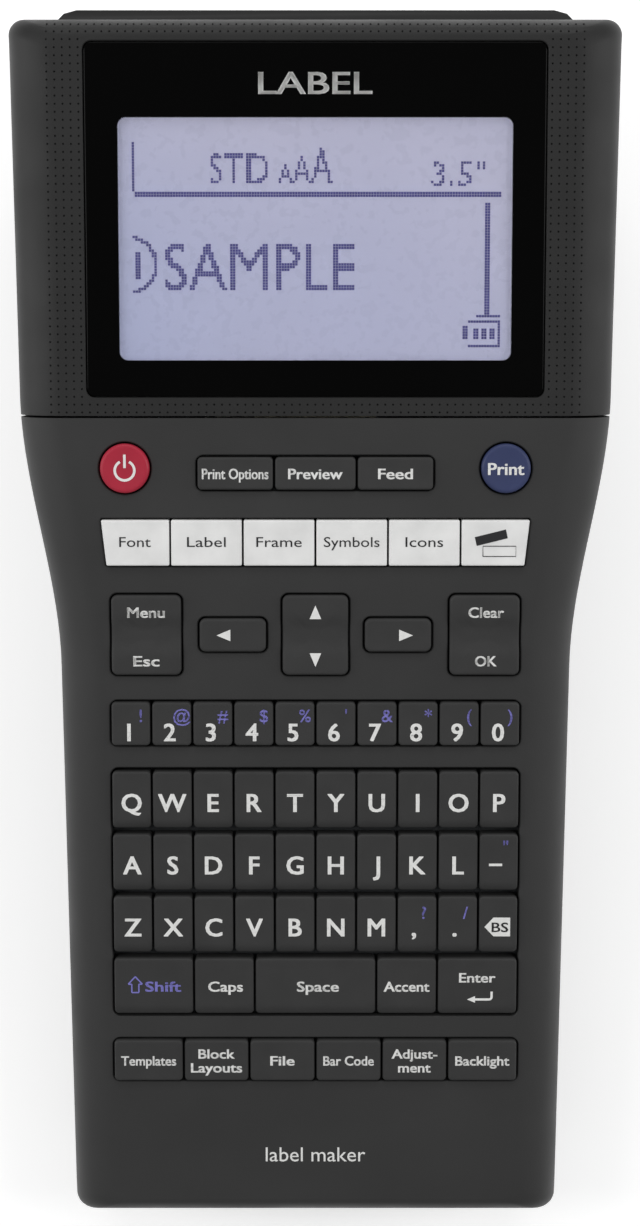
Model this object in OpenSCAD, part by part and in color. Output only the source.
// Hand-held label maker that lies on its back: keyboard handle, wide head with a display,
// tape cassette bay under the head and six round cells in the handle.
// +Y runs from the palm end to the head end, +X to the right of the user, +Z up from the table.

/* [Case] */
// Width of the head at its widest
body_w = 118; // [116:1:150]
// Width of the handle at the palm end
palm_w = 97.6; // [96:0.2:108]
// Length of the face, from the palm end to the head end
body_l = 237; // [235:1:300]
// Length of the head, from the seam to the head end
head_l = 76; // [76:1:92]
// Depth of the handle, from its face to its back
grip_d = 34; // [34:1:44]
// Thickness of the outer walls
wall = 2; // [1.6:0.1:2.4]
// Angle of the face above the table
face_tilt = 10; // [10:0.5:12]
// Depth of the seam between front and rear case, under the face
split_d = 13; // [13:0.5:16]
// Length of the flare between handle and head
flare_len = 53; // [40:1:56]
// Gap between two pieces of the case
seam_gap = 0.4; // [0.2:0.1:0.6]
// Height of the rubber feet
foot_h = 1.5; // [1:0.1:3]

/* [Display] */
// Width of the window plate
window_w = 88; // [82:1:96]
// Length of the window plate
window_l = 67; // [60:1:69]
// Width of the visible display
lcd_w = 75.3; // [60:0.1:77]
// Length of the visible display
lcd_l = 46; // [36:0.1:48]
// Distance from the head end to the middle of the window
window_down = 38.35; // [38:0.05:42]
// Distance from the head end to the middle of the display
lcd_down = 41.9; // [40:0.1:43]

/* [Keyboard] */
// Pitch of the letter and number keys across
key_pitch = 8.05; // [7:0.05:8.4]
// Pitch of the letter rows
row_pitch = 12.575; // [11:0.025:12.6]
// Gap between two keys
key_gap = 0.4; // [0.3:0.05:0.6]
// Clearance of a key in its window
key_clear = 0.3; // [0.25:0.05:0.5]
// Height of the keys above the face
key_rise = 0.9; // [0.5:0.1:1.5]
// Travel of a key
key_travel = 1; // [0.5:0.1:1.2]
// Diameter of the power and print keys
round_d = 9.6; // [8:0.1:11]

/* [Power] */
// Diameter of a cell
cell_d = 14.5; // [14:0.1:17.5]
// Length of a cell
cell_l = 50.5; // [44:0.5:52]

/* [Tape unit] */
// Width of the tape cassette
cassette_w = 71; // [64:1:72]
// Length of the tape cassette
cassette_l = 52; // [48:1:52]
// Height of the tape cassette
cassette_h = 28; // [20:1:28]
// Gear module
gear_m = 0.8; // [0.7:0.05:0.8]
// Radius of the platen roller
roller_r = 4; // [3:0.1:4.5]
// Running clearance of shafts in their holes
run_gap = 0.05; // [0.03:0.01:0.09]
// Travel of the cutter blade
cut_travel = 5; // [4:0.1:5]

/* [Fasteners] */
// Diameter of a screw shank
screw_d = 2.6; // [2:0.1:3]
// Diameter of a screw head
screw_head_d = 5; // [4:0.1:5.5]

/* [Hidden] */
$fn = 48;

// Height of the face plane above the table at the palm end
lift = grip_d*cos(face_tilt) + foot_h;
// Row position of the head end of the face, and of the line that the tape runs along
head_y = body_l*cos(face_tilt);
tape_line = head_y - 22;
// Distance of the seam between handle and head from the palm end
seam_y = body_l - head_l;

// Outline: slow widening over the whole length, and a smooth flare up to the head
widening = 3.6;
flare_h = body_w/2 - palm_w/2 - widening;
flare_start = seam_y + 4 - flare_len;
function ease(t) = let(u = min(1, max(0, t))) u*u*(3 - 2*u);
function half_w(y) = palm_w/2 + widening*y/body_l + flare_h*ease((y - flare_start)/flare_len);

// Rounding from the face down to the sides: across, at the ends, and in depth
shoulder_w = 9;
shoulder_end = 4;
shoulder_d = 8;
side_draft = 0.6;
step_a = 18;
// The rear case sits this far inside the outline, its handle a little more than its head
rear_in = 0.9;
head_in = 0.4;
rear_r = 9;
bottom_r = 8;
side_steps = 14;

// Closed outline of the case between y0 and y1, drawn in by s at the sides and by e0 and
// e1 at the ends, with end corners of radius r0 and r1, counter-clockwise from above
function outline(y0, y1, s, r0, r1) = let(
    right = concat(
        [for (a = [0:30:90]) [half_w(y0) - s - r0*(1 - sin(a)), y0 + r0*(1 - cos(a))]],
        [for (k = [1:side_steps - 1]) let(y = y0 + r0 + (y1 - r1 - y0 - r0)*k/side_steps)
            [half_w(y) - s, y]],
        [for (a = [90:-30:0]) [half_w(y1) - s - r1*(1 - sin(a)), y1 - r1*(1 - cos(a))]]))
    concat(right, [for (k = [len(right) - 1:-1:0]) [-right[k][0], right[k][1]]]);
function at_z(ring, z) = [for (p = ring) [p[0], p[1], z]];

// Solid through a stack of rings, lowest first
module loft(rings) {
    n = len(rings[0]);
    m = len(rings);
    points = [for (r = rings, p = r) p];
    sides = [for (j = [0:m - 2], i = [0:n - 1]) let(a = j*n + i, b = j*n + (i + 1)%n)
        each [[a, a + n, b + n], [a, b + n, b]]];
    floor_cap = [for (i = [0:n - 1]) i];
    roof_cap = [for (i = [n - 1:-1:0]) (m - 1)*n + i];
    polyhedron(points, concat([floor_cap], sides, [roof_cap]));
}

// Lowest row position of the palm end, highest of the rear bulge, and their middle
palm_end = min([for (a = [0:step_a:90])
    shoulder_end*(1 - cos(a))*cos(face_tilt) + shoulder_d*(1 - sin(a))*sin(face_tilt)]);
bulge_out = 6;
mid_y = (palm_end + head_y + bulge_out)/2;

// Frame of the face: x across, y from the palm end along the face, z out of the face
module face() { translate([0, -mid_y, lift]) rotate([face_tilt, 0, 0]) children(); }
// Frame of the tape unit: y from the line of the tape, z up from the table
module bay() { translate([0, tape_line - mid_y, 0]) children(); }
// Height above the table, at bay position y, of a plane that lies d under the face
function under_face(y, d) = lift - d*cos(face_tilt)
    + (y + tape_line - d*sin(face_tilt))*tan(face_tilt);
// Position along the face of the point under the plane d at bay position y
function face_y(y, d) = (y + tape_line - d*sin(face_tilt))/cos(face_tilt);

// Rectangle with rounded corners about the origin
function rounded(w, l, r) = [for (q = [0:3], k = [0:3]) let(a = 90*q + 30*k)
    [(q == 0 || q == 3 ? 1 : -1)*(w/2 - r) + r*cos(a), (q < 2 ? 1 : -1)*(l/2 - r) + r*sin(a)]];
module pad(w, l, r, z0, z1) {
    translate([0, 0, z0]) linear_extrude(z1 - z0) polygon(rounded(w, l, r));
}
module box(x0, x1, y0, y1, z0, z1) { translate([x0, y0, z0]) cube([x1 - x0, y1 - y0, z1 - z0]); }
module post(x, y, z0, z1, r) { translate([x, y, z0]) cylinder(h = z1 - z0, r = r); }
// Post that lies along x
module rod(x0, x1, y, z, r) { translate([x0, y, z]) rotate([0, 90, 0]) cylinder(h = x1 - x0, r = r); }

// Key windows: middle across, distance of the middle below the seam, width, length
round_x = 36.9;
round_at = 9.7;
round_window_r = round_d/2 + key_clear;
options_at = 10.65;
options_w = 46.2;
options_l = 6.9;
strip_at = 24.15;
strip_w = 83.8;
strip_slant = 1;
strip_l = 9.5;
cursor_at = 42.25;
rocker_x = 33;
rocker_w = 14.2;
rocker_l = 16.3;
arrow_x = 16.12;
arrow_w = 13.55;
arrow_l = 7.1;
updown_w = 13.4;
numbers_at = 59.8;
numbers_w = 10*key_pitch;
numbers_l = 9.2;
block_at = 93.85;
block_l = 4*row_pitch;
row_gap = 1.2;
functions_at = 127.95;
functions_w = 80.8;
functions_l = 8.9;
window_r = 1.4;
face_t = 2.2;

// Depths of the pieces under the face
key_root = 3.2;
mat_top = key_root + key_travel + 0.4;
mat_t = 1.2;
board_t = 1.6;
key_board_d = mat_top + mat_t;
boss_r = 3.2;
boss_bore_l = 9;
screw_len = 24;
screw_spots = [[-40, 14], [40, 14], [-44.3, seam_y - 36], [44.3, seam_y - 36]];
lap_l = 3.2;
lap_z = 2.7;

module at_seam(x, d) { translate([x, seam_y - d, 0]) children(); }

// Slanted outline of the strip of white keys between two places across, grown by g
function strip_shape(x0, x1, g) = let(
    s0 = x0 < -strip_w/2 + 1 ? strip_slant : 0,
    s1 = x1 > strip_w/2 - 1 ? strip_slant : 0, h = strip_l/2 + g)
    [[x0 + s0 - g, -h], [x1 - s1 + g, -h], [x1 + g, h], [x0 - g, h]];

module window_at(x, d, w, l) {
    at_seam(x, d) hull() {
        for (i = [-1, 1], j = [-1, 1])
            post(i*(w/2 - window_r), j*(l/2 - window_r), -6, 3, window_r);
    }
}
module key_windows() {
    for (s = [-1, 1]) {
        at_seam(s*round_x, round_at) post(0, 0, -6, 3, round_window_r);
        window_at(s*rocker_x, cursor_at, rocker_w, rocker_l);
        window_at(s*arrow_x, cursor_at, arrow_w, arrow_l);
    }
    window_at(0, options_at, options_w, options_l);
    at_seam(0, strip_at) translate([0, 0, -6]) linear_extrude(9)
        polygon(strip_shape(-strip_w/2, strip_w/2, 0));
    window_at(0, cursor_at, updown_w, rocker_l);
    window_at(0, numbers_at, numbers_w, numbers_l);
    window_at(0, block_at, numbers_w, block_l);
    window_at(0, functions_at, functions_w, functions_l);
}

// Front shell between y0 and y1 as one skin: the hollow from the face plate down to the rim,
// then the outside from the rim up over the rounded shoulders
end_r = 3;
// Each shell is made this much longer than its length, then cut at the seam
past_seam = 14;
module front_shell(y0, y1, z_low) {
    loft(concat(
        [for (step = [[-face_t, 3.4], [-shoulder_d/2, 0.8], [-shoulder_d, 0], [z_low, side_draft]])
            let(t = wall + step[1]) at_z(outline(y0 + t, y1 - t, t, end_r, end_r), step[0])],
        [at_z(outline(y0, y1, side_draft, end_r, end_r), z_low)],
        [for (a = [0:step_a:90])
            let(across = shoulder_w*(1 - cos(a)), along = shoulder_end*(1 - cos(a)))
            at_z(outline(y0 + along, y1 - along, across, end_r, end_r),
                -shoulder_d*(1 - sin(a)))]));
}

module front_case() color("#424242") face() {
    difference() {
        union() {
            difference() {
                front_shell(0, seam_y + past_seam, -split_d);
                box(-body_w, body_w, seam_y, body_l, -split_d - 9, 9);
            }
            for (p = screw_spots) post(p[0], p[1], -split_d, -face_t + 0.7, boss_r);
            box(-body_w/2 + 9, body_w/2 - 9, seam_y - 4, seam_y + lap_l, -lap_z - 1.5, -lap_z);
            box(-body_w/2 + 9, body_w/2 - 9, seam_y - 4, seam_y - 0.1, -lap_z - 0.1, -wall + 0.3);
        }
        key_windows();
        for (p = screw_spots) post(p[0], p[1], -split_d - 1, -split_d + boss_bore_l, screw_d/2);
    }
}

module display_surround() color("#373737") face() {
    y0 = seam_y + seam_gap;
    difference() {
        front_shell(y0 - past_seam, body_l, -split_d);
        box(-body_w, body_w, seam_y - 29, y0, -split_d - 9, 9);
        translate([0, body_l - window_down, 0]) pad(window_w + 0.4, window_l + 0.4, 1.7, -1.4, 1);
        translate([0, body_l - lcd_down, 0]) pad(lcd_w + 1.4, lcd_l + 1.4, 1.7, -wall - 2, 1);
    }
}

module display_window() color("#0a0a0c") face()
    translate([0, body_l - window_down, 0]) difference() {
        pad(window_w, window_l, 1.5, -1.4, 0);
        translate([0, window_down - lcd_down, 0]) pad(lcd_w, lcd_l, 1.6, -2, 1);
    }

// Rear case: handle part in the face frame, head part and its bulge in the frame of the bay
module rear_handle(grow_in, z_top) {
    deep = grip_d - grow_in;
    inset = rear_in + grow_in;
    long_end = tape_line - 61 + (grow_in > 0 ? 1 : 0);
    loft(concat(
        [for (a = [90:-step_a:0]) at_z(
            outline(inset + rear_r*(1 - cos(a))/2, long_end, inset + rear_r*(1 - cos(a)), 4, 0),
            -deep + rear_r*(1 - sin(a)))],
        [at_z(outline(inset, long_end, inset, 4, 0), z_top)]));
}
// Head ring between bay positions y0 and y1, drawn in by s, with corners of radius r
function head_ring(y0, y1, s, r) = [for (p = outline(face_y(y0, split_d), face_y(y1, split_d), s, r, r))
    [p[0], p[1]*cos(face_tilt) + split_d*sin(face_tilt) - tape_line]];
head_front = -64;
head_back = 12;
step_slope = 5;
module rear_head(g, lift_top) {
    top_back = head_y + split_d*sin(face_tilt) - tape_line - head_in;
    loft(concat(
        [for (a = [90:-step_a:0]) at_z(head_ring(head_front - step_slope*cos(a) + g,
                head_back + bottom_r*cos(a) - g, head_in + g + bottom_r*(1 - cos(a)), 4),
            foot_h + g + (bottom_r - g)*(1 - sin(a)))],
        [[for (p = head_ring(head_front - 17 + g, top_back - g, head_in + g, 3))
            [p[0], p[1], under_face(p[1], split_d) + lift_top]]]));
}
// Bulge of the rear case past the head end, drawn in by g
module rear_bulge(g) {
    narrow = 6.4;
    loft([for (k = [0:5]) let(u = k/5, low = (1 - u)*(1 - u), edge = u == 1 ? 1.2 : 0)
        [for (p = head_ring(2, 22 + bulge_out - 8*low - edge - g, narrow + 3*low + edge + g, 5))
            [p[0], p[1], foot_h + 3 + g + u*(under_face(p[1], split_d + 0.6 + g) - foot_h - 3 - g)]]]);
}

// Hinge barrels of the two covers: radius, pins and the lugs that hold them
hinge_r = 1.6;
pin_r = 1.1;
pin_l = 2.5;
lug_gap = 0.3;
lug_w = 3.4;
cover_t = 1.8;
cover_room = 0.3;

// Battery bay in the handle, measured from the palm end
cell_pitch = cell_d + 0.4;
contact_t = 3;
cell_gap = 0.3;
bay_y0 = 12;
bay_w = 3*cell_pitch + 1;
bay_l = 2*cell_l + 2*contact_t + 2*cell_gap;
cover_edge = 1.5;
bay_wall = cover_edge + seam_gap + 1.2;
cell_z = -grip_d + cover_t + 0.7 + cell_d/2;
bay_roof = cell_z + cell_d/2 + 0.8;
battery_hinge_y = bay_y0 + bay_l + bay_wall + hinge_r + 0.4;
battery_hinge_z = -grip_d + hinge_r;
battery_hinge_w = 36;
battery_plate_w = bay_w + 2*cover_edge;

// Cassette cover, in the frame of the bay
cover_w = 92;
cover_hinge_y = -59;
cover_hinge_z = foot_h + hinge_r;
cover_hinge_w = 80;
cover_notch = 4.5;
cover_back = 2.6;

// Outline of a hinged cover: a plate to far, a narrower tongue at the hinge that starts at near;
// way is 1 where the plate lies at larger y than the hinge and -1 where it lies at smaller y
function cover_shape(w, tongue, near, notch, far, g, way) = let(
    half = [[-w/2 - g, notch - way*g], [-tongue/2 - g, notch - way*g], [-tongue/2 - g, near]],
    other = [[tongue/2 + g, near], [tongue/2 + g, notch - way*g], [w/2 + g, notch - way*g],
        [w/2 + g, far + way*g], [-w/2 - g, far + way*g]])
    concat(half, other);

module bay_cover_plate(near, g, z0, z1) translate([0, 0, z0]) linear_extrude(z1 - z0)
    polygon(cover_shape(cover_w, cover_hinge_w, near, cover_hinge_y + cover_notch, cover_back, g, 1));
module battery_cover_plate(near, g, z0, z1) translate([0, 0, z0]) linear_extrude(z1 - z0)
    polygon(cover_shape(battery_plate_w, battery_hinge_w, near, battery_hinge_y - 3.5,
        bay_y0 - cover_edge, g, -1));
module hinge_barrel(w, y, z) {
    rod(-w/2, w/2, y, z, hinge_r);
    rod(-w/2 - lug_gap - pin_l, w/2 + lug_gap + pin_l, y, z, pin_r);
}
module hinge_lugs(w, y, z) {
    for (s = [0, 1]) mirror([s, 0, 0])
        box(w/2 + lug_gap, w/2 + lug_gap + lug_w, y - 1.9, y + 1.9, z - 1, z + 2.6);
}
module hinge_bores(w, y, z) {
    rod(-w/2 - lug_gap - pin_l - 0.3, w/2 + lug_gap + pin_l + 0.3, y, z, pin_r + run_gap);
}

// Sockets at the right side of the main board
board_top = 12;
socket_z = -board_top - board_t;
socket_in = body_w/2 - 13;
socket_out = body_w/2 - 1.6;
usb_y = body_l - 60;
usb_w = 8;
usb_h = 4;
jack_y = body_l - 42;
jack_w = 9;
jack_r = 2.75;
window_room = 0.4;

// Slot for the finished tape in the left wall
slot_half = 2.5;
slot_z0 = 5;
slot_z1 = 31;

// Plate of the mechanism and its four screwed posts
plate_z = 33;
plate_t = 1.5;
plate_top = plate_z + plate_t;
plate_posts = [[49.6, -53], [49.6, 7], [-49.6, -53], [-49.6, -14]];
plate_post_r = 2.5;
plate_screw_l = 6;
rear_boss_z = -grip_d + 2.1;
head_seat = -grip_d + 4.5;
screw_head_h = 1.8;

module rear_case() color("#3a3a3a") difference() {
    union() {
        difference() {
            union() {
                face() rear_handle(0, -split_d + 2);
                bay() rear_head(0, 1.2);
                bay() rear_bulge(0);
            }
            face() rear_handle(wall, -split_d + 4);
            bay() rear_head(wall, 3);
            face() box(-body_w, body_w, -50, body_l + 50, -split_d, 20);
        }
        face() box(-bay_w/2 - bay_wall, bay_w/2 + bay_wall, bay_y0 - bay_wall,
            bay_y0 + bay_l + bay_wall, -grip_d + 1, bay_roof + 1.5);
        face() for (p = screw_spots) post(p[0], p[1], rear_boss_z, -split_d, boss_r);
        face() hinge_lugs(battery_hinge_w, battery_hinge_y, battery_hinge_z);
        bay() hinge_lugs(cover_hinge_w, cover_hinge_y, cover_hinge_z);
        bay() for (p = plate_posts) post(p[0], p[1], foot_h + 1, plate_z, plate_post_r);
    }
    face() {
        box(-bay_w/2, bay_w/2, bay_y0, bay_y0 + bay_l, -grip_d - 1, bay_roof);
        battery_cover_plate(battery_hinge_y + hinge_r + 0.3, seam_gap,
            -grip_d - 1, -grip_d + cover_t + cover_room);
        box(-battery_hinge_w/2 - lug_gap, battery_hinge_w/2 + lug_gap, battery_hinge_y - hinge_r - 0.3,
            battery_hinge_y + hinge_r + 0.3, -grip_d - 1, battery_hinge_z + hinge_r + 0.3);
        hinge_bores(battery_hinge_w, battery_hinge_y, battery_hinge_z);
        for (p = screw_spots) {
            post(p[0], p[1], -grip_d - 1, head_seat, screw_head_d/2 + 0.2);
            post(p[0], p[1], -grip_d - 1, -split_d + 1, screw_d/2 + 0.2);
        }
        box(body_w/2 - 9, body_w/2 + 4, usb_y - usb_w/2 - window_room, usb_y + usb_w/2 + window_room,
            socket_z - usb_h - window_room, -split_d + 1);
        box(body_w/2 - 9, body_w/2 + 4, jack_y - jack_w/2 - window_room,
            jack_y + jack_w/2 + window_room, socket_z - jack_w - window_room, -split_d + 1);
    }
    bay() {
        bay_cover_plate(cover_hinge_y - hinge_r - 0.3, seam_gap, foot_h - 1, foot_h + wall + 1);
        hinge_bores(cover_hinge_w, cover_hinge_y, cover_hinge_z);
        box(-body_w/2 - 4, -body_w/2 + 8, -slot_half, slot_half, slot_z0, slot_z1);
        for (p = plate_posts) post(p[0], p[1], plate_z - plate_screw_l - 1, plate_z + 1, screw_d/2 - 0.2);
    }
}

module back_cover() color("#3a3a3a") bay() {
    bay_cover_plate(cover_hinge_y, 0, foot_h, foot_h + cover_t);
    hinge_barrel(cover_hinge_w, cover_hinge_y, cover_hinge_z);
}

module battery_cover() color("#3a3a3a") face() {
    battery_cover_plate(battery_hinge_y, 0, -grip_d, -grip_d + cover_t);
    hinge_barrel(battery_hinge_w, battery_hinge_y, battery_hinge_z);
}

module screw(z, r_head, h_head, r, l) {
    difference() {
        post(0, 0, z - h_head, z, r_head);
        for (a = [0, 90]) rotate([0, 0, a]) box(-1.6, 1.6, -0.3, 0.3, z - h_head - 1, z - h_head + 0.8);
    }
    post(0, 0, z - 0.01, z + l, r);
}
module case_screws() color("#b8b8bc") {
    face() for (p = screw_spots) translate([p[0], p[1], 0])
        screw(head_seat, screw_head_d/2, screw_head_h, screw_d/2 - 0.05, screw_len);
    bay() for (p = plate_posts) translate([p[0], p[1], plate_top]) mirror([0, 0, 1])
        screw(0, screw_head_d/2 - 0.3, 1.2, screw_d/2 - 0.25, plate_t + plate_screw_l);
}

foot_r = 4;
palm_foot = [30, 21];
head_foot = [38, 7.5];
module rubber_feet() color("#202020") {
    for (s = [-1, 1]) {
        difference() {
            translate([s*palm_foot[0], palm_foot[1] - mid_y, 0]) cylinder(h = 12, r = foot_r);
            face() box(-body_w, body_w, -20, body_l, -grip_d, 20);
        }
        bay() post(s*head_foot[0], head_foot[1], 0, foot_h, foot_r - 0.5);
    }
}

// Display and boards
lcd_base_w = 84;
lcd_base_l = 56;
lcd_z = -2.6;
lcd_t = 2;
light_t = 2.2;
frame_rim = 2;
frame_low = -9;
module at_lcd() { face() translate([0, body_l - lcd_down, 0]) children(); }

module lcd_panel() color("#b0b4cc") at_lcd() {
    pad(lcd_base_w, lcd_base_l, 1, lcd_z - lcd_t, lcd_z);
    pad(lcd_w + 1, lcd_l + 1, 1.6, lcd_z - 0.01, -1.5);
}
module backlight_panel() color("#e8e8f0") at_lcd()
    pad(lcd_base_w, lcd_base_l, 1, lcd_z - lcd_t - light_t, lcd_z - lcd_t);
module lcd_frame() color("#d8d8d8") at_lcd() {
    difference() {
        pad(lcd_base_w + 0.4 + 4*frame_rim, lcd_base_l + 0.4 + 2*frame_rim, 1.5, frame_low, -wall - 0.4);
        pad(lcd_base_w + 0.4, lcd_base_l + 0.4, 1, lcd_z - lcd_t - light_t - 0.1, 0);
        pad(lcd_base_w - 8, lcd_base_l - 8, 1, frame_low - 1, 0);
    }
    for (x = [-1, 1], y = [-1, 1])
        post(x*(lcd_base_w/2 + 2), y*lcd_base_l/2, -board_top, frame_low + 0.01, 1.8);
}
board_y0 = seam_y + 1.5;
board_y1 = body_l - 9;
module main_board() color("#1e6b3a") face() {
    box(-body_w/2 + 9, body_w/2 - 9, board_y0, board_y1, socket_z, -board_top);
    // Chips on the board
    box(-20, -6, board_y0 + 20, board_y0 + 34, -board_top - 0.01, -board_top + 1.4);
    box(8, 20, board_y0 + 34, board_y0 + 44, -board_top - 0.01, -board_top + 1.2);
}
key_board_w = 86;
key_board_y0 = seam_y - 134.5;
key_board_y1 = seam_y - 3;
module boss_holes(z0, z1) { for (p = screw_spots) post(p[0], p[1], z0, z1, boss_r + 0.6); }
module key_board() color("#1e6b3a") face() difference() {
    box(-key_board_w/2, key_board_w/2, key_board_y0, key_board_y1, -key_board_d - board_t, -key_board_d);
    boss_holes(-key_board_d - board_t - 1, -key_board_d + 1);
}
// Contact domes showing through the mat: letter columns and the function row
module keypad_mat() color("#404040") face() difference() {
    box(-key_board_w/2 + 0.5, key_board_w/2 - 0.5, key_board_y0 + 1, key_board_y1 - 1,
        -key_board_d, -mat_top);
    boss_holes(-key_board_d - 1, -mat_top + 1);
    for (c = [0:9], r = [0:2]) at_seam((c - 4.5)*key_pitch, letter_at(r)) post(0, 0, -key_board_d - 1,
        -mat_top + 1, 1.8);
}
ribbon_w = 24;
ribbon_t = 0.4;
module ribbon_cable() color("#d9d2c0") face() {
    y = seam_y;
    high = -key_board_d - board_t;
    low = socket_z;
    translate([ribbon_w/2, 0, 0]) rotate([0, -90, 0]) linear_extrude(ribbon_w) polygon([
        [high, y - 14], [high, y - 5.4], [low, y + 0.6], [low, y + 8],
        [low - ribbon_t, y + 8], [low - ribbon_t, y + 0.2], [high - ribbon_t, y - 5.8],
        [high - ribbon_t, y - 14]]);
}
module usb_socket() color("#c0c0c4") face() {
    difference() {
        box(socket_in, socket_out, usb_y - usb_w/2, usb_y + usb_w/2, socket_z - usb_h, socket_z);
        box(socket_in + 2, socket_out + 1, usb_y - usb_w/2 + 0.5, usb_y + usb_w/2 - 0.5,
            socket_z - usb_h + 0.5, socket_z - 0.5);
    }
    box(socket_in + 1.9, socket_out - 1.5, usb_y - 2.5, usb_y + 2.5, socket_z - usb_h/2 - 0.4,
        socket_z - usb_h/2 + 0.4);
}
module power_jack() color("#1c1c1c") face() {
    z = socket_z - jack_w/2;
    difference() {
        box(socket_in, socket_out, jack_y - jack_w/2, jack_y + jack_w/2, socket_z - jack_w, socket_z);
        rod(socket_in + 2, socket_out + 1, jack_y, z, jack_r);
    }
    rod(socket_in + 1.9, socket_out - 1, jack_y, z, 0.8);
}

// Cells in three columns of two, nubs pointing the other way in each next column
nub_l = 1;
module cell() {
    post(0, 0, 0, cell_l - nub_l, cell_d/2);
    post(0, 0, cell_l - nub_l - 0.01, cell_l, 2.7);
}
module battery_cells() color("#7c8c3c") face()
    for (c = [-1:1], j = [0, 1]) let(y = bay_y0 + contact_t + j*(cell_l + cell_gap) + cell_gap/2)
        translate([c*cell_pitch, y + (c == 0 ? cell_l : 0), cell_z])
            rotate([c == 0 ? 90 : -90, 0, 0]) cell();
module battery_contacts() color("#c8c8cc") face()
    for (c = [-1:1], s = [0, 1]) translate([c*cell_pitch, s == 0 ? bay_y0 : bay_y0 + bay_l, cell_z])
        rotate([s == 0 ? -90 : 90, 0, 0]) {
            pad(9, 9, 1, 0, 0.5);
            post(0, 0, 0.49, contact_t - 0.3, 2.6);
        }

// Gears: involute flanks of four points, with backlash and a small extra centre distance
backlash = 0.2;
mesh_gap = 0.1;
pressure = 20;
function inv_deg(a) = tan(a)*180/PI - a;
function half_tooth(r, n) = let(rp = gear_m*n/2, rb = rp*cos(pressure))
    90/n - backlash/2/rp*180/PI + inv_deg(pressure) - (r > rb ? inv_deg(acos(rb/r)) : 0);
function gear_points(n, phase) = let(rp = gear_m*n/2, rb = rp*cos(pressure), ra = rp + 0.75*gear_m,
        rr = rp - 1.2*gear_m, flank = [rr, max(rb, rr + 0.1), rp, (rp + ra)/2, ra])
    [for (k = [0:n - 1], j = [0:9]) let(c = phase + 360*k/n, out = j < 5,
        r = flank[out ? j : 9 - j], a = c + (out ? -1 : 1)*half_tooth(r, n)) [r*cos(a), r*sin(a)]];
module gear(n, phase, z0, z1) {
    translate([0, 0, z0]) linear_extrude(z1 - z0) polygon(gear_points(n, phase));
}
function mesh_far(n1, n2) = gear_m*(n1 + n2)/2 + mesh_gap;
// Turn of a gear that lies in direction a from a gear of n1 teeth with a tooth at angle 0
function mesh_phase(a, n1, n2) = a + 180 + a*n1/n2 - 180/n2;

idler_n = 36;
feed_n = 24;
ribbon_n = 30;
pinion_n = 12;
idler_at = [2, -19.4];
feed_a = 160;
ribbon_a = -125;
pinion_a = 25;
feed_at = idler_at + mesh_far(idler_n, feed_n)*[cos(feed_a), sin(feed_a)];
ribbon_at = idler_at + mesh_far(idler_n, ribbon_n)*[cos(ribbon_a), sin(ribbon_a)];
pinion_at = idler_at + mesh_far(idler_n, pinion_n)*[cos(pinion_a), sin(pinion_a)];
gear_z0 = plate_top + 1;
gear_z1 = gear_z0 + 4;
shaft_r = 1.5;
spindle_r = 2.5;
motor_z0 = gear_z1 + 1.5;
motor_z1 = motor_z0 + 12;
motor_shaft_r = 1;

// Platen arm, roller and print head
roller_at = [-19, roller_r + 0.2];
arm_at = [10, 9.6];
arm_pin_r = 2;
roller_pin_r = 1.2;
roller_z0 = 5;
roller_z1 = 30;

// Cutter: blade left of its guide, moved by a rack on the blade
guide_x = -36;
guide_t = 1.5;
blade_t = 1.5;
blade_x1 = guide_x - guide_t - 0.3;
blade_x0 = blade_x1 - blade_t;
guide_slot = 2.4;
blade_y0 = cut_travel - guide_slot;
blade_y1 = 16;
cutter_n = 12;
cutter_r = gear_m*cutter_n/2;
rack_x = -42.5;
rack_z0 = 13.4;
rack_z1 = 17.6;
cutter_at = [rack_x - cutter_r - mesh_gap/2, 8.6];

module mechanism_plate() color("#a8a8ac") bay() {
    difference() {
        translate([0, 0, plate_z]) linear_extrude(plate_t) polygon([[-52.5, -58], [52.5, -58], [52.5, 14],
            [guide_x + 0.5, 14], [guide_x + 0.5, -8], [-52.5, -8]]);
        for (p = [feed_at, ribbon_at]) post(p[0], p[1], plate_z - 1, plate_top + 1, spindle_r + run_gap);
        for (p = plate_posts) post(p[0], p[1], plate_z - 1, plate_top + 1, screw_d/2);
    }
    post(idler_at[0], idler_at[1], plate_top - 0.01, gear_z1 + 0.8, shaft_r);
    post(arm_at[0], arm_at[1], plate_z - 9, plate_z + 0.01, arm_pin_r);
}
module print_head() color("#d0ccc0") bay() {
    x = roller_at[0];
    box(x - 6, x + 6, -2.3, -0.7, 5.5, plate_z);
    box(x - 2, x + 2, -0.71, -0.2, roller_z0 + 1, roller_z1 - 1);
}
module platen_arm() color("#8c8c90") bay() {
    z0 = roller_z1 + 0.4;
    z1 = plate_z - 0.6;
    along = roller_at - arm_at;
    side = [-along[1], along[0]]/norm(along)*2;
    difference() {
        union() {
            post(arm_at[0], arm_at[1], z1 - 7, z1, 4);
            post(roller_at[0], roller_at[1], z0, z1, 2.5);
            translate([0, 0, z0]) linear_extrude(z1 - z0)
                polygon([arm_at + side, roller_at + side, roller_at - side, arm_at - side]);
        }
        post(arm_at[0], arm_at[1], z0 - 8, plate_z + 1, arm_pin_r + run_gap);
    }
    post(roller_at[0], roller_at[1], roller_z0 - 0.5, z0 + 0.01, roller_pin_r);
}
module platen_roller() color("#2a2a2a") bay() difference() {
    post(roller_at[0], roller_at[1], roller_z0, roller_z1, roller_r);
    post(roller_at[0], roller_at[1], roller_z0 - 1, roller_z1 + 1, roller_pin_r + run_gap);
}
module motor(r) {
    difference() {
        post(0, 0, motor_z0, motor_z1, r);
        post(0, 0, motor_z0 - 1, motor_z0 + 7, motor_shaft_r + run_gap);
    }
}
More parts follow.
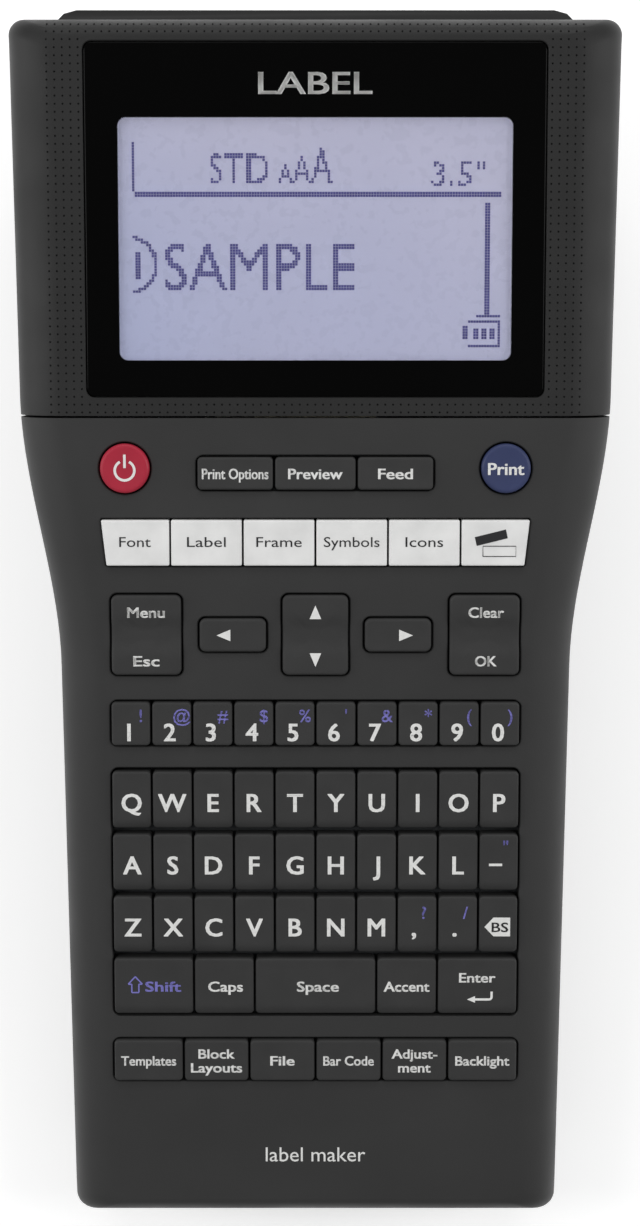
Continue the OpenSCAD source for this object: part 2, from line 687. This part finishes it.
module feed_motor() color("#b4b4b8") bay() {
    translate([pinion_at[0], pinion_at[1], 0]) motor(11);
    // Bracket that stands on the plate, clear of the gears
    difference() {
        box(pinion_at[0] - 8, pinion_at[0] + 12, pinion_at[1] - 9, pinion_at[1] + 12,
            motor_z0 - 1, motor_z0 + 0.01);
        post(pinion_at[0], pinion_at[1], motor_z0 - 2, motor_z0 + 1, motor_shaft_r + 0.5);
    }
    box(pinion_at[0] + 8, pinion_at[0] + 12, pinion_at[1] - 9, pinion_at[1] + 12,
        plate_top, motor_z0 - 0.99);
}
module motor_pinion() color("#d8c070") bay() translate([pinion_at[0], pinion_at[1], 0]) {
    gear(pinion_n, mesh_phase(pinion_a, idler_n, pinion_n), gear_z0, gear_z1);
    post(0, 0, gear_z1 - 0.01, motor_z0 + 6, motor_shaft_r);
}
module idler_gear() color("#e6e6e0") bay() translate([idler_at[0], idler_at[1], 0]) difference() {
    gear(idler_n, 0, gear_z0, gear_z1);
    post(0, 0, gear_z0 - 1, gear_z1 + 1, shaft_r + run_gap);
}
module spindle_gear(p, n, phase, z_low) translate([p[0], p[1], 0]) {
    gear(n, phase, gear_z0, gear_z1);
    post(0, 0, z_low, gear_z0 + 0.01, spindle_r);
}
module feed_gear() color("#e6e6e0") bay()
    spindle_gear(feed_at, feed_n, mesh_phase(feed_a, idler_n, feed_n), 8);
module ribbon_gear() color("#e6e6e0") bay()
    spindle_gear(ribbon_at, ribbon_n, mesh_phase(ribbon_a, idler_n, ribbon_n), 12);

module cutter_motor() color("#b4b4b8") bay() {
    translate([cutter_at[0], cutter_at[1], 0]) motor(5.6);
    difference() {
        box(cutter_at[0] - 5, guide_x + 7, cutter_at[1] - 6, cutter_at[1] + 5,
            motor_z0 - 1, motor_z0 + 0.01);
        post(cutter_at[0], cutter_at[1], motor_z0 - 2, motor_z0 + 1, motor_shaft_r + 0.5);
    }
    box(guide_x + 3, guide_x + 7, cutter_at[1] - 6, cutter_at[1] + 5, plate_top, motor_z0 - 0.99);
}
module cutter_pinion() color("#d8c070") bay() translate([cutter_at[0], cutter_at[1], 0]) {
    gear(cutter_n, 0, rack_z0 + 0.4, rack_z1 - 0.4);
    post(0, 0, rack_z1 - 0.41, motor_z0 + 6, motor_shaft_r);
}
rack_pitch = PI*gear_m;
module cutter_blade() color("#c4c8cc") bay() {
    root = rack_x + 0.95*gear_m;
    tip = rack_x - 0.7*gear_m;
    base_half = rack_pitch/4 - backlash/4 + 0.95*gear_m*tan(pressure);
    tip_half = rack_pitch/4 - backlash/4 - 0.7*gear_m*tan(pressure);
    box(blade_x0, blade_x1, blade_y0, blade_y1, roller_z0 + 0.6, roller_z1 + 1);
    translate([0, 0, rack_z0]) linear_extrude(rack_z1 - rack_z0) polygon(concat(
        [[blade_x0 + 0.01, blade_y0 + 1], [blade_x0 + 0.01, blade_y1]],
        [for (k = [2:-1:-2]) let(y = cutter_at[1] + (k + 0.5)*rack_pitch)
            each [[root, y + base_half], [tip, y + tip_half], [tip, y - tip_half],
                [root, y - base_half]]]));
}
// The guide is cut away past heel_y and under heel_z, where the floor of the rear case curves up
heel_y = head_back - 3;
heel_z = foot_h + bottom_r;
module cutter_guide() color("#a8a8ac") bay() {
    x0 = guide_x - guide_t;
    rail_x = blade_x0 - 1;
    difference() {
        box(x0, guide_x, -8, 16, 3.9, plate_z);
        box(x0 - 1, guide_x + 1, -guide_slot, guide_slot, 4.6, roller_z1 + 1.5);
        box(x0 - 1, guide_x + 1, heel_y, 17, 0, heel_z);
    }
    box(rail_x, x0 + 0.01, -8, heel_y, 3.9, roller_z0 + 0.3);
    box(rail_x, x0 + 0.01, -8, 16, roller_z1 + 1.3, plate_z);
    box(guide_x - 0.01, guide_x + 6, 8, 16, plate_z - 1.5, plate_z);
}

cassette_x = 7.5;
cassette_z0 = 4;
cassette_y1 = -3;
cassette_wall = 1.5;
roll_r = min(cassette_l/2 - cassette_wall - 0.6, 23);
roll_at = [cassette_x + cassette_w/2 - cassette_wall - roll_r - 0.6, cassette_y1 - cassette_l/2];
core_r = 6;
module tape_cassette() color("#30343c") bay() {
    x0 = cassette_x - cassette_w/2;
    x1 = cassette_x + cassette_w/2;
    y0 = cassette_y1 - cassette_l;
    z1 = cassette_z0 + cassette_h;
    t = cassette_wall;
    difference() {
        box(x0, x1, y0, cassette_y1, cassette_z0, z1);
        box(x0 + t, x1 - t, y0 + t, cassette_y1 - t, cassette_z0 + t, z1 - t);
        for (p = [feed_at, ribbon_at]) post(p[0], p[1], z1 - t - 1, z1 + 1, spindle_r + 0.8);
        box(x0 - 1, x0 + 6, cassette_y1 - t - 1, cassette_y1 + 1, cassette_z0 + 2, z1 - 2);
    }
    post(roll_at[0], roll_at[1], cassette_z0 + t - 0.01, z1 - t + 0.01, core_r - run_gap);
}
module tape_roll() color("#e8e4d8") bay() difference() {
    post(roll_at[0], roll_at[1], cassette_z0 + cassette_wall + 0.5,
        cassette_z0 + cassette_h - cassette_wall - 0.5, roll_r);
    post(roll_at[0], roll_at[1], cassette_z0, cassette_z0 + cassette_h, core_r);
}

// Keys: cap of width w and length l whose middle lies d below the seam
key_r = 0.8;
module cap(x, d, w, l, r = key_r) at_seam(x, d) pad(w, l, r, -key_root, key_rise);
// Cap number k of a row with the given edges across
module row_cap(edges, k, d, l) {
    last = len(edges) - 2;
    x0 = edges[k] + (k == 0 ? key_clear : key_gap/2);
    x1 = edges[k + 1] - (k == last ? key_clear : key_gap/2);
    cap((x0 + x1)/2, d, x1 - x0, l);
}
module round_key(x) at_seam(x, round_at) post(0, 0, -key_root, key_rise, round_d/2);
option_edges = [-options_w/2, -8, 8, options_w/2];
letter_edges = [for (k = [-5:5]) k*key_pitch];
shift_edges = [for (k = [-5, -3, -1.5, 1.5, 3, 5]) k*key_pitch];
function_edges = [-40.4, -26.3, -13.2, 0, 13.2, 26.3, 40.4];
function letter_at(r) = block_at - block_l/2 + row_pitch*(r + 0.5);
letter_l = row_pitch - row_gap;
strip_pitch = 14.1;
module strip_key(k) at_seam(0, strip_at) translate([0, 0, -key_root]) linear_extrude(key_root + key_rise)
    polygon(strip_shape(k == 0 ? -strip_w/2 + key_clear : (k - 3)*strip_pitch + key_gap/2,
        k == 5 ? strip_w/2 - key_clear : (k - 2)*strip_pitch - key_gap/2, 0)
        - [for (i = [0:3]) [0, (i < 2 ? -1 : 1)*key_clear]]);
module key_row(edges, d, l) { for (k = [0:len(edges) - 2]) row_cap(edges, k, d, l); }

module power_key() color("#b02a40") face() round_key(-round_x);
module print_key() color("#3f4a78") face() round_key(round_x);
module option_cap(k) row_cap(option_edges, k, options_at, options_l - 2*key_clear);
module print_options_key() color("#3c3c3c") face() option_cap(0);
module preview_key() color("#3c3c3c") face() option_cap(1);
module feed_key() color("#3c3c3c") face() option_cap(2);
module font_key() color("#e4e4e4") face() strip_key(0);
module label_key() color("#e4e4e4") face() strip_key(1);
module frame_key() color("#e4e4e4") face() strip_key(2);
module symbols_key() color("#e4e4e4") face() strip_key(3);
module icons_key() color("#e4e4e4") face() strip_key(4);
module collection_key() color("#e4e4e4") face() strip_key(5);
module rocker(x, w) cap(x, cursor_at, w - 2*key_clear, rocker_l - 2*key_clear, window_r - key_clear);
module menu_esc_key() color("#3c3c3c") face() rocker(-rocker_x, rocker_w);
module up_down_key() color("#3c3c3c") face() rocker(0, updown_w);
module clear_ok_key() color("#3c3c3c") face() rocker(rocker_x, rocker_w);
module arrow_key(x) cap(x, cursor_at, arrow_w - 2*key_clear, arrow_l - 2*key_clear, window_r - key_clear);
module left_key() color("#3c3c3c") face() arrow_key(-arrow_x);
module right_key() color("#3c3c3c") face() arrow_key(arrow_x);
module number_keys() color("#3c3c3c") face() key_row(letter_edges, numbers_at, numbers_l - 2*key_clear);
module letter_keys_top() color("#3c3c3c") face() key_row(letter_edges, letter_at(0), letter_l);
module letter_keys_middle() color("#3c3c3c") face() key_row(letter_edges, letter_at(1), letter_l);
module letter_keys_bottom() color("#3c3c3c") face() key_row(letter_edges, letter_at(2), letter_l);
module shift_key() color("#3c3c3c") face() row_cap(shift_edges, 0, letter_at(3), letter_l);
module caps_key() color("#3c3c3c") face() row_cap(shift_edges, 1, letter_at(3), letter_l);
module space_key() color("#3c3c3c") face() row_cap(shift_edges, 2, letter_at(3), letter_l);
module accent_key() color("#3c3c3c") face() row_cap(shift_edges, 3, letter_at(3), letter_l);
module enter_key() color("#3c3c3c") face() row_cap(shift_edges, 4, letter_at(3), letter_l);
module function_keys() color("#3c3c3c") face() key_row(function_edges, functions_at,
    functions_l - 2*key_clear);

front_case();
display_surround();
display_window();
rear_case();
back_cover();
battery_cover();
case_screws();
rubber_feet();
lcd_panel();
backlight_panel();
lcd_frame();
main_board();
key_board();
keypad_mat();
ribbon_cable();
usb_socket();
power_jack();
battery_cells();
battery_contacts();
mechanism_plate();
print_head();
platen_arm();
platen_roller();
feed_motor();
motor_pinion();
idler_gear();
feed_gear();
ribbon_gear();
cutter_motor();
cutter_pinion();
cutter_blade();
cutter_guide();
tape_cassette();
tape_roll();
power_key();
print_key();
print_options_key();
preview_key();
feed_key();
font_key();
label_key();
frame_key();
symbols_key();
icons_key();
collection_key();
menu_esc_key();
up_down_key();
clear_ok_key();
left_key();
right_key();
number_keys();
letter_keys_top();
letter_keys_middle();
letter_keys_bottom();
shift_key();
caps_key();
space_key();
accent_key();
enter_key();
function_keys();
